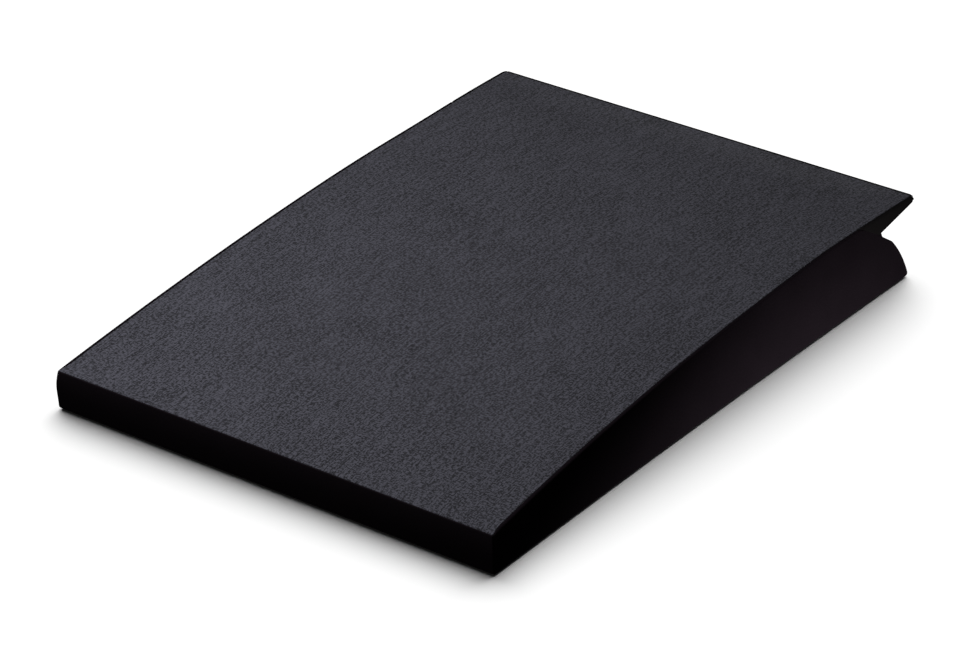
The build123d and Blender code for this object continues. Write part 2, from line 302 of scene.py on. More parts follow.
def nearest_on_outline(points):
    """The nearest places on the outline, the way out, and how far inside the points are."""
    along = np.roll(OUTLINE, -1, axis=0) - OUTLINE
    offset = points[:, None] - OUTLINE
    share = np.clip((offset * along).sum(2) / (along**2).sum(1), 0, 1)
    gaps = np.linalg.norm(offset - share[..., None] * along, axis=2)
    ways = unit(left_of(along))
    facing = np.abs((offset * ways).sum(2))
    best = (gaps - 1e-6 * facing).argmin(1)  # at a corner, the run that faces the point more
    each = np.arange(len(points))
    nearest = OUTLINE[best] + share[each, best][:, None] * along[best]
    way = ways[best]
    outside = ((points - nearest) * way).sum(1)
    inside = -np.sign(outside) * gaps[each, best]
    clear = gaps[each, best] > 1e-6
    way[clear] = (nearest - points)[clear] / inside[clear, None]
    return nearest, way, inside


def round_lip_corners(points):
    """Rounds the lip's two corners, seen from above."""
    side_start = half_width(HIGH_Y, TALL_Z) - CORNER_RADIUS
    across = np.clip((np.abs(points[:, 0]) - side_start) / CORNER_RADIUS, 0, 1)
    along = np.clip((points[:, 1] - HIGH_Y + CORNER_RADIUS) / CORNER_RADIUS, 0, 1)
    inward = np.sign(points[:, 0]) * across * (1 - np.sqrt(1 - along**2 / 2))
    back = along * (1 - np.sqrt(1 - across**2 / 2))
    return points - CORNER_RADIUS * np.column_stack([inward, back, np.zeros(len(points))])


# ---- cover panels ----

def dip(distance):
    """How deep the cloth sinks into a seam, from its distance to the seam."""
    return SEAM_DEPTH * np.clip(1 - distance / SEAM_ROLL, 0, 1) ** 2


def grid_faces(rows, columns):
    """Quads of a grid of points stored row by row."""
    first = np.arange(rows - 1)[:, None] * columns + np.arange(columns - 1)
    return [(k, k + 1, k + 1 + columns, k + columns) for k in first.ravel().tolist()]


def link(piece):
    bpy.context.scene.collection.objects.link(piece)
    return piece


def new_piece(name, points, faces, uvs=None, outward=None):
    """A smooth-shaded mesh object. Faces are turned to agree with the outward directions."""
    mesh = bpy.data.meshes.new(name)
    mesh.from_pydata([tuple(point) for point in points], [], [tuple(face) for face in faces])
    if outward is not None:
        normals = np.array([polygon.normal for polygon in mesh.polygons])
        wanted = np.array([outward[polygon.vertices[0]] for polygon in mesh.polygons])
        if (normals * wanted).sum() < 0:
            mesh.flip_normals()
    if uvs is not None:
        layer = mesh.uv_layers.new(name="cloth")
        for loop in mesh.loops:
            layer.data[loop.index].uv = uvs[loop.vertex_index]
    mesh.shade_smooth()
    mesh.update()
    return link(bpy.data.objects.new(name, mesh))


def settle(piece, held, pressure):
    """Lets a panel bulge over the foam as cloth, held along its seams. Moves are limited."""
    pins = piece.vertex_groups.new(name="held")
    pins.add([int(index) for index in np.flatnonzero(held)], 1.0, "REPLACE")
    cloth = piece.modifiers.new("cloth", "CLOTH")
    settings = cloth.settings
    settings.quality = 6
    settings.mass = 0.3
    settings.tension_stiffness = settings.compression_stiffness = 40
    settings.shear_stiffness = 20
    settings.bending_stiffness = 2
    settings.effector_weights.gravity = 0
    settings.vertex_group_mass = "held"
    settings.use_pressure = True
    settings.uniform_pressure_force = pressure
    cloth.point_cache.frame_start = 1
    cloth.point_cache.frame_end = SETTLE_FRAMES
    scene = bpy.context.scene
    for frame_number in range(1, SETTLE_FRAMES + 1):
        scene.frame_set(frame_number)
    graph = bpy.context.evaluated_depsgraph_get()
    before = points_of(piece.data)
    move = points_of(piece.evaluated_get(graph).data) - before
    size = np.linalg.norm(move, axis=1)
    soft = SETTLE_MOST * np.tanh(size / SETTLE_MOST) / np.maximum(size, 1e-9)
    piece.modifiers.remove(cloth)
    piece.vertex_groups.remove(pins)
    piece.data.vertices.foreach_set("co", (before + move * soft[:, None]).ravel())
    piece.data.update()
    scene.frame_set(1)


def thicken(piece):
    """Gives a sheet its thickness, inwards."""
    solid = piece.modifiers.new("thickness", "SOLIDIFY")
    solid.thickness = THICKNESS
    solid.offset = -1
    return piece


SEAM_STRIP = 0.006  # a row's columns are finer this near to its seams
EDGE_COLUMNS = np.array([0.0046, 0.0036, 0.0028, 0.0021, 0.0016, 0.0012, 0.0009, 0.0006, 0.0003, 0.0])
FLAT_COLUMNS = 1 + round(2 * HALF_WIDTH / PITCH)


def row_layout():
    """Places across a row of cloth: even ones, and finer ones towards both seams."""
    flat = np.linspace(SEAM_STRIP - HALF_WIDTH, HALF_WIDTH - SEAM_STRIP, FLAT_COLUMNS)
    to_seam = HALF_WIDTH - EDGE_COLUMNS
    return np.concatenate([-to_seam[::-1], flat, to_seam])


TUCK_STEPS = np.array([0.3, 0.6, 1.0])  # rows of cloth within the tuck


def crossing_panel(name, path, start="seam", end="seam", run=None, pressure=0.0):
    """A panel that runs across the board and folds a little over both long edges.

    Each end is a seam or a tuck into the groove's root. run says how much of the path a
    column follows, from its x, as (from, to) fractions.
    """
    marks = path.stations()
    if start == "tuck":
        marks = np.concatenate([-TUCK_STEPS[::-1] * ROOT_TUCK, marks])
    if end == "tuck":
        marks = np.concatenate([marks, path.length + TUCK_STEPS * ROOT_TUCK])
    inward = unit(JOIN_FRONT - ROOT)
    points, uvs, outward = [], [], []
    nominal = row_layout()
    first, last = (0, 1) if run is None else run(nominal)
    for mark in marks:
        reach = path.length * first + (last - first) * mark + np.zeros(len(nominal))
        place, out = path.at(np.clip(reach, 0, path.length))
        flat_end = half_width(place[:, 0], place[:, 1]) - EDGE
        total = flat_end + EDGE * math.pi / 2 - cloth_turn(place, out)
        by_seam = np.sign(nominal) * (total - HALF_WIDTH + np.abs(nominal))
        between = nominal * (total - SEAM_STRIP) / (HALF_WIDTH - SEAM_STRIP)
        across = np.where(np.abs(nominal) > HALF_WIDTH - SEAM_STRIP, by_seam, between)
        fold = np.sign(across) * np.clip((np.abs(across) - flat_end) / EDGE, 0, None)
        x = np.clip(across, -flat_end, flat_end) + EDGE * np.sin(fold)
        side = place - out * (EDGE * (1 - np.cos(fold)))[:, None]
        normal = np.column_stack([np.sin(fold), out * np.cos(fold)[:, None]])
        depth = dip(total - np.abs(across))
        if start == "seam":
            depth = np.maximum(depth, dip(mark))
        if end == "seam":
            depth = np.maximum(depth, dip(path.length - mark))
        here = np.column_stack([x, side]) - normal * depth[:, None]
        here[:, 1:] += inward * max(-mark, mark - path.length, 0)  # the tuck
        points.append(here)
        uvs.append(np.column_stack([nominal, np.full(len(nominal), mark)]))
        outward.append(normal)
    points, uvs, outward = (np.vstack(rows) for rows in (points, uvs, outward))
    faces = grid_faces(len(marks), len(nominal))
    piece = new_piece(name, round_lip_corners(points), faces, uvs, outward)
    if pressure:
        from_side = HALF_WIDTH - np.abs(uvs[:, 0])
        from_end = np.minimum(uvs[:, 1], path.length - uvs[:, 1])
        settle(piece, np.minimum(from_side, from_end) < HELD_STRIP, pressure)
    return thicken(piece)


HOLLOW = 0.0019  # how far a side sinks in, at its most
BULGE = 0.0012  # and stands out
HOLLOW_START = MIDDLE_Y - 0.06
HOLLOW_REACH = 0.33
HOLLOW_SHARE = 0.46  # of the height, at the nose
SWELL_FADE = 0.02  # no swell at the side's ends


def side_swell(y, z):
    """How a long side stands out or sinks in, from its place.

    The foam bulges below a soft line that comes down from the top edge at mid-length to
    mid-height at the nose. Above that line the cloth is drawn in under the edge.
    """
    depth = 1 - height_share(y, z)
    rise = smooth((y - HOLLOW_START) / HOLLOW_REACH)
    line = HOLLOW_SHARE * rise + 1e-6
    above = np.clip(depth / line, 0, 1)
    below = np.clip((depth - line) / (1 - line), 0, 1)
    hollow = -HOLLOW * rise * np.sin(math.pi * above) ** 2 * (1 - 0.35 * above)
    bulge = BULGE * np.sin(math.pi * below) ** 0.8
    nose_y = np.interp(z, [BASE_Z, SHOULDER[1], ROOT[1]], [HEEL[0], SHOULDER[0], ROOT[0]])
    ends = smooth((y - LOW_Y) / SWELL_FADE) * smooth((nose_y - y) / SWELL_FADE)
    return (hollow + bulge) * ends


def roll_side(flat, bulged):
    """Where a long side's cloth lies, and its outward directions, from its flat layout.

    The layout is the side view's, and runs on past the outline by what rolls over the edge.
    """
    nearest, way, inside = nearest_on_outline(flat)
    past = EDGE - inside
    angle = np.clip(past / EDGE, 0, math.pi / 2)
    wide = half_width(flat[:, 0], flat[:, 1])
    if bulged:
        wide = wide + side_swell(flat[:, 0], flat[:, 1])
    x = wide - EDGE * (1 - np.cos(angle)) - np.maximum(past - EDGE * math.pi / 2, 0)
    rolled = nearest - way * (EDGE * (1 - np.sin(angle)))[:, None]
    side = np.where(past[:, None] > 0, rolled, flat)
    outward = np.column_stack([np.cos(angle), way * np.sin(angle)[:, None]])
    return np.column_stack([x, side]), outward


BORDER_GIVE = 0.05  # a border bends over this length to meet its neighbour


class Border:
    """One border of a side panel: an edge of the board, or a seam within the side.

    Its two lines are where the cloth starts to roll and the seam, both in the side's flat
    layout. All borders run clockwise in the side view.
    """

    def __init__(self, path, marks, is_seam=False):
        self.marks, self.length = marks, path.length
        self.points, self.out = path.at(marks)
        self.offsets = np.zeros((2, len(marks)))
        self.offsets[0] = SEAM_INSET if is_seam else EDGE
        if not is_seam:
            self.offsets[1] = EDGE - cloth_turn(self.points, self.out)
        self.lines = self.points - self.offsets[..., None] * self.out

    def move_ends(self, end, corners):
        """Moves one end of both lines to these corners, and the rest near it in proportion."""
        distance = self.marks if end == 0 else self.length - self.marks
        share = np.clip(1 - distance / min(self.length, BORDER_GIVE), 0, 1)
        self.lines += share[:, None] * (corners - self.lines[:, end])[:, None]


def mitre(borders):
    """Makes the lines of a closed chain of borders meet at its corners."""
    for before, after in zip(borders, borders[1:] + borders[:1]):
        ways = np.array([before.out[-1], after.out[0]])
        offsets = np.array([before.offsets[:, -1], after.offsets[:, 0]])
        if abs(np.linalg.det(ways)) < 0.1:  # the two run on in one direction
            moves = offsets[1][:, None] * unit(ways.sum(0))
        else:
            moves = np.linalg.solve(ways, offsets).T
        before.move_ends(-1, after.points[0] - moves)
        after.move_ends(0, after.points[0] - moves)


RING = np.array([0.10, 0.2, 0.3, 0.4, 0.5, 0.6, 0.7, 0.78, 0.85, 0.91, 0.96, 1.0])


def end_to_end(lines):
    return np.vstack([line[:-1] for line in lines[:-1]] + [lines[-1]])


def side_patch(name, sign, left, top, right, bottom, bulged):
    """A panel of a long side, from the borders of its four sides, which run clockwise."""
    borders = left + top + right + bottom
    mitre(borders)
    sides = (left, top, right, bottom)
    up, along, down, back = (end_to_end([border.lines[0] for border in side]) for side in sides)
    down, back = down[::-1], back[::-1]
    rows, columns = len(up), len(along)
    u = np.linspace(0, 1, columns)[None, :, None]
    v = np.linspace(0, 1, rows)[:, None, None]
    lines = (1 - v) * back[None] + v * along[None]
    posts = (1 - u) * up[:, None] + u * down[:, None]
    corners = (1 - v) * ((1 - u) * back[0] + u * back[-1]) + v * ((1 - u) * along[0] + u * along[-1])
    layout = [(lines + posts - corners).reshape(-1, 2)]
    depths = [np.zeros(rows * columns)]
    faces = grid_faces(rows, columns)
    index = np.arange(rows * columns).reshape(rows, columns)
    ring = np.concatenate([index[:-1, 0], index[-1, :-1], index[:0:-1, -1], index[0, :0:-1]])
    inner, outer = np.hstack([border.lines[:, :-1] for border in borders])
    width = np.concatenate([(border.offsets[0] - border.offsets[1])[:-1] for border in borders])
    previous, total = ring, rows * columns
    for share in RING:
        layout.append(inner + share * (outer - inner))
        depths.append(dip((1 - share) * width))
        current = total + np.arange(len(ring))
        following, after = np.roll(previous, -1), np.roll(current, -1)
        faces += list(zip(previous, following, after, current))
        previous, total = current, total + len(ring)
    layout = np.vstack(layout)
    points, outward = roll_side(layout, bulged)
    points = round_lip_corners(points - outward * np.concatenate(depths)[:, None])
    points[:, 0] *= sign
    outward[:, 0] *= sign
    piece = new_piece(name, points, faces, layout, outward)
    if bulged:
        held = np.ones(len(points), bool)
        held[index[1:-1, 1:-1].ravel()] = False
        settle(piece, held, PRESSURE)
    return thicken(piece)


# Mesh spacing along the borders of the sides
CORNER_STEPS = np.array([0.0, 0.0008, 0.0016, 0.0024, 0.0034])
AFTER_CORNER = 0.0055
SIDE_ROWS = 12
TOP_MARKS = 76
SLOPE_MARKS = 5
SEAM_MARKS = 9
LIP_CORNER = CORNER_RADIUS * 1.5
LIP_CORNER_MARKS = 13
LIP_MARKS = 14


def spaced(path, count, fine_start=False, fine_end=False):
    """Even lengths along a path, with closer ones where it starts or ends in a corner."""
    start = CORNER_STEPS if fine_start else np.array([])
    end = path.length - CORNER_STEPS[::-1] if fine_end else np.array([])
    low = AFTER_CORNER if fine_start else 0.0
    high = path.length - (AFTER_CORNER if fine_end else 0.0)
    return np.concatenate([start, np.linspace(low, high, count), end])


def from_tip(path, at_end=False):
    """Lengths along an edge of the lip, closer by the tip's rounded corner."""
    fine = np.linspace(0, LIP_CORNER, LIP_CORNER_MARKS)
    marks = np.concatenate([fine, np.linspace(LIP_CORNER, path.length, LIP_MARKS)[1:]])
    return path.length - marks[::-1] if at_end else marks


def side_pieces(side, sign):
    """The long side panel, and the gusset that closes the lip's end."""
    top_before, top_after = PATHS["top"].split_at_y(JOIN_Y)
    join_top = top_before.points[-1]
    seam, seam_back = Path(straight(join_top, ROOT)), Path(straight(ROOT, join_top))
    upper, nose = PATHS["rear"].split(np.linalg.norm(SHOULDER - ROOT))
    front, base = PATHS["front"], PATHS["base"]

    top_borders = [
        Border(top_before, spaced(top_before, TOP_MARKS, fine_start=True)),
        Border(seam, spaced(seam, SEAM_MARKS), is_seam=True),
        Border(upper, spaced(upper, SLOPE_MARKS, fine_end=True)),
    ]
    along = end_to_end([border.points for border in top_borders])[:, 0]
    fractions = (along - along[0]) / (along[-1] - along[0])
    panel = side_patch(
        f"{side}_side_cloth",
        sign,
        [Border(front, spaced(front, SIDE_ROWS, True, True))],
        top_borders,
        [Border(nose, spaced(nose, SIDE_ROWS, True, True))],
        [Border(base, base.length * (1 - fractions[::-1]))],
        True,
    )

    tip = PATHS["lip"]
    upright = tip.reach[tip.points[:, 0] > HIGH_Y - 1e-6]
    over, rest = tip.split(upright[0])
    face, under = rest.split(upright[-1] - upright[0])
    over = Path(top_after.points, over.points)
    gusset = side_patch(
        f"{side}_lip_gusset_cloth",
        sign,
        [Border(seam_back, spaced(seam_back, SEAM_MARKS), is_seam=True)],
        [Border(over, from_tip(over, at_end=True))],
        [Border(face, spaced(face, SEAM_MARKS))],
        [Border(under, from_tip(under))],
        False,
    )
    return panel, gusset


ZIP_GAP = 0.0058
ZIP_GAP_CLOSES = 0.006
ZIP_GAP_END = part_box("zip_top_stops")[1].x + 0.003


def zip_gap(x):
    """Half the gap that the rear panels leave for the zip, closing beyond its ends."""
    return ZIP_GAP * (1 - smooth((np.abs(x) - ZIP_GAP_END) / ZIP_GAP_CLOSES))


def zip_reach():
    """How far along the rear run the zip's middle is."""
    rear = PATHS["rear"]
    return rear.reach[np.linalg.norm(rear.points - ZIP_MIDDLE[1:], axis=1).argmin()]


def rear_pieces():
    """The rear panels above and below the zip."""
    above, below = PATHS["rear"].split(zip_reach())
    upper = crossing_panel(
        "rear_upper_cloth", above, start="tuck", run=lambda x: (0, 1 - zip_gap(x) / above.length)
    )
    lower = crossing_panel("rear_lower_cloth", below, run=lambda x: (zip_gap(x) / below.length, 1))
    gap = zip_gap(0)
    return (upper, above.length + ROOT_TUCK - gap), (lower, below.length - gap)


# ---- zip, stitches and grips ----

ALONG_ZIP = np.array([1.0, 0.0, 0.0])


def loft(start, rings, size):
    """Faces round a stack of rings of points, with a flat face at both ends."""
    faces = []
    for ring in range(rings - 1):
        low, high = start + ring * size, start + (ring + 1) * size
        for k in range(size):
            j = (k + 1) % size
            faces.append((low + k, low + j, high + j, high + k))
    last = start + (rings - 1) * size
    faces.append(tuple(start + k for k in reversed(range(size))))
    faces.append(tuple(last + k for k in range(size)))
    return faces


def tube(line, radius, sides):
    """Points and faces of a closed round tube along a line, with flat ends."""
    along = unit(np.gradient(line, axis=0))
    across = unit(np.cross(along, ALONG_ZIP))
    third = np.cross(along, across)
    turns = 2 * math.pi * np.arange(sides)[:, None] / sides
    ring = np.cos(turns) * across[:, None] + np.sin(turns) * third[:, None]
    points = (line[:, None] + radius * ring).reshape(-1, 3)
    return points, [face[::-1] for face in loft(0, len(line), sides)]


COIL_PITCH = 0.0012
COIL_WIRE = 0.00028
COIL_STEPS = 12
COIL_HALF_WIDTH = 0.00135
COIL_HALF_HEIGHT = 0.0007
COIL_SHIFT = 0.00028  # towards the zip's middle, so that the two coils' turns interleave


def zip_coil(name, side):
    """One of the zip's two nylon coils, as a flattened helix. side is 1 below the zip."""
    reach = (np.array(box_centre(name)) - ZIP_MIDDLE) @ ZIP_DOWN * side
    length = ZIP_END - ZIP_START - 2 * COIL_WIRE
    steps = round(length / COIL_PITCH * COIL_STEPS)
    step = np.arange(steps + 1)[:, None]
    turn = 2 * math.pi * step / COIL_STEPS + math.pi / 2 * side
    x = ZIP_START + COIL_WIRE + length * step / steps
    down = side * (reach - COIL_SHIFT + COIL_HALF_WIDTH * np.cos(turn))
    helix = x * ALONG_ZIP + down * ZIP_DOWN + COIL_HALF_HEIGHT * np.sin(turn) * ZIP_OUT
    points, faces = tube((0, *ZIP_MIDDLE[1:]) + helix, COIL_WIRE, 6)
    return new_piece(f"{name}_wire", points, faces)


STITCH_LENGTH = 0.0026
STITCH_PITCH = 0.0034
STITCH_RADIUS = 0.00028
STITCH_ROW = 0.0082  # from the zip's middle
STITCH_HEIGHT = 0.00012  # of its middle over the cloth
STITCH_SINK = 0.00035  # of its ends
STITCH_RINGS = 7
STITCH_SIDES = 6
STITCH_END = ZIP_GAP_END + 0.001


def zip_stitching():
    """The two rows of stitches that hold the zip's tapes to the rear panels."""
    count = int(2 * STITCH_END / STITCH_PITCH)
    share = np.linspace(-1, 1, STITCH_RINGS)[:, None]
    taper = np.sqrt(1.02 - share**2)[..., None]
    turns = 2 * math.pi * np.arange(STITCH_SIDES)[:, None] / STITCH_SIDES
    along = share * STITCH_LENGTH / 2 * ALONG_ZIP
    points, faces = [], []
    for side in (-1, 1):
        place, out = PATHS["rear"].at(np.array([zip_reach() + side * STITCH_ROW]))
        middle, up = np.array([0.0, *place[0]]), np.array([0.0, *out[0]])
        ring = np.cos(turns) * up + np.sin(turns) * np.cross(up, ALONG_ZIP)
        stitch = middle + along + (STITCH_HEIGHT - STITCH_SINK * share**2) * up
        shell = (stitch[:, None] + STITCH_RADIUS * taper * ring).reshape(-1, 3)
        for i in range(count):
            faces += loft(len(points) * len(shell), STITCH_RINGS, STITCH_SIDES)
            points.append(shell + ALONG_ZIP * (2 * (i + 0.5) / count - 1) * STITCH_END)
    return new_piece("zip_stitching", np.vstack(points), faces)


GRIP_RIBS = 5
GRIP_RIB_DEPTH = 0.00022
GRIP_ROUNDING = 0.0005
GRIP_RIM = 0.001  # the ribs fade out this near to the strip's edge
GRIP_SINK = 0.0002  # into the base cloth
GRIP_STATIONS = 45
GRIP_STEPS = 41  # across a strip


def grip_strips():
    """Ribbed rubber strips under the base, one closed shell each."""
    low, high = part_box("grip_strips")
    cad = points_of(NODES["grip_strips"].data)
    middles = np.unique(cad[cad[:, 0] > high.x - 1e-5][:, 1].round(5))
    half = middles[0] - low.y
    end = high.x - half
    angles = np.linspace(0, math.pi / 2, 9)[1:]
    cap = end + half * np.sin(angles)
    x_marks = np.concatenate([-cap[::-1], np.linspace(-end, end, GRIP_STATIONS), cap])
    narrow = np.concatenate([np.cos(angles[::-1]), np.ones(GRIP_STATIONS), np.cos(angles)]).clip(0.02)
    share = np.linspace(-1, 1, GRIP_STEPS)
    round_trip = np.concatenate([share, [1, 0, -1]])
    ribs = GRIP_RIB_DEPTH * (0.5 - 0.5 * np.cos(math.pi * GRIP_RIBS * (share + 1)))
    points, faces = [], []
    for middle in middles:
        faces += loft(len(points), len(x_marks), len(round_trip))
        for x, width in zip(x_marks, narrow):
            edge = half * width * (1 - np.abs(share))
            rounding = GRIP_ROUNDING * np.clip(1 - edge / GRIP_ROUNDING, 0, 1) ** 2
            inner = smooth(edge / GRIP_RIM)
            z = low.z + np.maximum(rounding, GRIP_RIB_DEPTH * (1 - inner) + ribs * inner)
            z = np.concatenate([z, np.full(3, BASE_Z + GRIP_SINK)])
            points += [(x, middle + half * width * s, height) for s, height in zip(round_trip, z)]
    return new_piece("rubber_grip_strips", points, faces)


# ---- foam ----

FOAM_VOXEL = 0.004
FOAM_SHRINK = 0.0009
FOAM_CLEARANCE = 0.0016
SLIDER_CHANNEL = 0.0037  # how deep the foam gives way behind the zip
CHANNEL_HALF = 0.006  # its flat middle, and as much again for each bank


def foam_piece(name, node):
    """A foam layer with soft edges, a little inside the cover."""
    source = link(bpy.data.objects.new(name, NODES[node].data.copy()))
    remesh = source.modifiers.new("even", "REMESH")
    remesh.mode = "VOXEL"
    remesh.voxel_size = FOAM_VOXEL
    shrink = source.modifiers.new("inside", "DISPLACE")
    shrink.strength = -FOAM_SHRINK
    shrink.mid_level = 0
    soften = source.modifiers.new("soft", "SMOOTH")
    soften.factor = 0.5
    soften.iterations = 3
    graph = bpy.context.evaluated_depsgraph_get()
    result = bpy.data.meshes.new_from_object(source.evaluated_get(graph))
    source.modifiers.clear()
    source.data = result
    points = points_of(result)
    y, z = points[:, 1], points[:, 2]
    limit = half_width(y, z) + np.minimum(side_swell(y, z), 0) - FOAM_CLEARANCE
    points[:, 0] = np.clip(points[:, 0], -limit, limit)
    down, out = (points - ZIP_MIDDLE) @ ZIP_DOWN, (points - ZIP_MIDDLE) @ ZIP_OUT
    give = 1 - smooth((np.abs(down) - CHANNEL_HALF) / CHANNEL_HALF)
    deepest = -SLIDER_CHANNEL * give
    pushed = np.where((give > 0) & (out > deepest), deepest - out, 0)
    points += pushed[:, None] * ZIP_OUT
    result.vertices.foreach_set("co", points.ravel())
    result.shade_smooth()
    result.update()
    return source


# ---- materials ----

# Each material's dark and light tone
MELANGE = (0.0103, 0.0101, 0.0128), (0.0688, 0.0683, 0.0861)
BLACK = (0.0045, 0.0031, 0.0042), (0.0092, 0.0064, 0.0086)
# A paler, greyer copy of the black cloth, for the lip and its gussets: its paleness is painted light,
# the lighter shading of the faces turned towards the front.
BLACK_PAINTED_LIGHTER = (0.0051, 0.0045, 0.0046), (0.0096, 0.0085, 0.0087)
BACKING = (0.012, 0.012, 0.0125), (0.03, 0.03, 0.031)
ZIP_TAPE = (0.008, 0.008, 0.0085), (0.02, 0.02, 0.021)
THREAD = (0.012, 0.012, 0.013), (0.03, 0.03, 0.032)
FIRM_FOAM = (0.10, 0.105, 0.115), (0.30, 0.31, 0.33)
SOFT_FOAM = (0.34, 0.36, 0.38), (0.68, 0.70, 0.72)
RUBBER = (0.018, 0.018, 0.019), (0.06, 0.06, 0.062)
FLUTED_PLASTIC = (0.42, 0.42, 0.4), (0.6, 0.6, 0.58)
ENAMEL = (0.012, 0.012, 0.013), (0.16, 0.16, 0.165)
NYLON = (0.008, 0.008, 0.009), (0.02, 0.02, 0.022)
TUFTS = (0.008, 0.008, 0.009), (0.03, 0.03, 0.032)


def add(tree, kind, inputs=(), **settings):
    """A shader node. An input is a value, or another node's output to link."""
    made = tree.nodes.new(kind)
    for key, value in settings.items():
        setattr(made, key, value)
    for key, value in dict(inputs).items():
        if isinstance(value, bpy.types.NodeSocket):
            tree.links.new(value, made.inputs[key])
        else:
            made.inputs[key].default_value = value
    return made


def start_material(name, **values):
    """A material and its main shader, with constant values set on the shader."""
    material = bpy.data.materials.new(name)
    material.use_nodes = True
    main = material.node_tree.nodes["Principled BSDF"]
    for key, value in values.items():
        socket = key.replace("_", " ").title().replace("Ior", "IOR")
        main.inputs[socket].default_value = value
    return material, main


def wave(vector, direction, pitch, wander=0.0):
    """Parallel threads, as a value from 0 to 1 across each."""
    scale = 2 * math.pi / (20 * pitch)
    inputs = {"Vector": vector, "Scale": scale, "Distortion": wander, "Detail": 1, "Detail Scale": 0.4}
    return add(vector.id_data, "ShaderNodeTexWave", inputs, bands_direction=direction).outputs["Fac"]


def noise(vector, size, detail=2.0, stretch=(1, 1, 1)):
    """Cloudy noise with features of about this size."""
    inputs = {"Vector": vector, "Scale": tuple(1 / s for s in stretch)}
    scaled = add(vector.id_data, "ShaderNodeMapping", inputs).outputs[0]
    inputs = {"Vector": scaled, "Scale": 1 / size, "Detail": detail, "Roughness": 0.55}
    return add(vector.id_data, "ShaderNodeTexNoise", inputs).outputs["Fac"]


def calc(operation, first, second, third=0.5):
    """Arithmetic on values. first is always another node's output."""
    inputs = {0: first, 1: second, 2: third}
    return add(first.id_data, "ShaderNodeMath", inputs, operation=operation).outputs[0]


def spread(value, low, high, to_low=0.0, to_high=1.0):
    """Stretches a value's range."""
    inputs = {"Value": value, "From Min": low, "From Max": high, "To Min": to_low, "To Max": to_high}
    return add(value.id_data, "ShaderNodeMapRange", inputs).outputs["Result"]


def two_tone(share, tones):
    """A colour between two tones: the first where share is 0, and the second where it is 1."""
    inputs = {0: share, 6: (*tones[0], 1), 7: (*tones[1], 1)}
    return add(share.id_data, "ShaderNodeMix", inputs, data_type="RGBA").outputs[2]


def bump(height, distance, strength, under=None):
    inputs = {"Height": height, "Distance": distance, "Strength": strength}
    if under is not None:
        inputs["Normal"] = under
    return add(height.id_data, "ShaderNodeBump", inputs).outputs["Normal"]


def paint(main, colour, rough=None, normal=None):
    """Links a material's colour, roughness and normal to its main shader."""
    for socket, value in (("Base Color", colour), ("Roughness", rough), ("Normal", normal)):
        if value is not None:
            main.id_data.links.new(value, main.inputs[socket])


def cloth_place(main):
    """Metres along the cloth, from the panel's own layout."""
    return add(main.id_data, "ShaderNodeUVMap", uv_map="cloth").outputs["UV"]


def object_place(main):
    """Metres in the board's own frame."""
    return add(main.id_data, "ShaderNodeTexCoord").outputs["Object"]


def cells(vector, scale):
    """Small pits: the distance to the nearest point of a scatter."""
    found = add(vector.id_data, "ShaderNodeTexVoronoi", {"Vector": vector, "Scale": scale})
    return found.outputs["Distance"]


def plain_weave(place, pitch, wander):
    """Threads that pass over and under each other, as heights."""
    return calc("MULTIPLY", wave(place, "X", pitch, wander), wave(place, "Y", pitch, wander))


def melange_weave():
    """The top's charcoal cloth: dark and pale fibres mixed along both thread directions."""
    shine = {"specular_ior_level": 0.12, "sheen_weight": 0.06, "sheen_roughness": 0.6}
    material, main = start_material("charcoal_melange", roughness=0.9, **shine)
    place = cloth_place(main)
    threads = plain_weave(place, 0.00095, 0.6)
    along_x = noise(place, 0.0021, 2.0, (2.2, 0.65, 1))
    along_y = noise(place, 0.0021, 2.0, (0.65, 2.2, 1))
    grain = noise(place, 0.0017, 1.0)
    slow = noise(place, 0.09, 2.0)
    yarns = noise(place, 0.0015, 1.0, (0.9, 24, 1))
    streaks = calc("ADD", along_x, along_y)
    mixed = calc("MULTIPLY_ADD", grain, 0.9, streaks)
    mixed = calc("MULTIPLY_ADD", yarns, 0.6, mixed)
    share = spread(mixed, 1.60, 1.91)
    share = calc("MULTIPLY_ADD", threads, 0.22, share)
    share = calc("ADD", share, spread(slow, 0.3, 0.7, -0.10, 0.06))
    colour = two_tone(share, MELANGE)
    rough = spread(mixed, 1.3, 2.2, 0.96, 0.82)
    fine = bump(threads, 0.00018, 0.55)
    paint(main, colour, rough, bump(mixed, 0.0003, 0.35, fine))
    return material


def knit(name, tones, place_of=cloth_place, pitch=0.0006, level=0.02):
    """A smooth fine cloth in one colour, with a small grain and a slow unevenness."""
    material, main = start_material(name, roughness=0.9, specular_ior_level=level)
    place = place_of(main)
    threads = plain_weave(place, pitch, 0.4)
    grain = noise(place, 0.0017, 2.0)
    slow = noise(place, 0.05, 2.0)
    share = calc("MULTIPLY_ADD", threads, 0.35, spread(grain, 0.25, 0.75, -0.1, 0.55))
    share = calc("ADD", share, spread(slow, 0.3, 0.7, -0.08, 0.15))
    worn = spread(grain, 0.2, 0.8, 0.96, 0.82)
    fine = bump(threads, 0.0001, 0.5)
    paint(main, two_tone(share, tones), worn, bump(slow, 0.0015, 0.25, fine))
    return material


def foam_material(name, tones):
    """Open-cell foam: small pits of several sizes."""
    material, main = start_material(name, roughness=0.95, specular_ior_level=0.1)
    place = object_place(main)
    pores, holes = cells(place, 650.0), cells(place, 260.0)
    slow = noise(place, 0.03)
    share = calc("MULTIPLY_ADD", pores, 0.6, calc("MULTIPLY", holes, 0.7))
    share = calc("MULTIPLY_ADD", slow, 0.4, share)
    pits = bump(pores, 0.0006, 0.8, bump(holes, 0.0012, 0.5))
    paint(main, two_tone(share, tones), normal=pits)
    return material


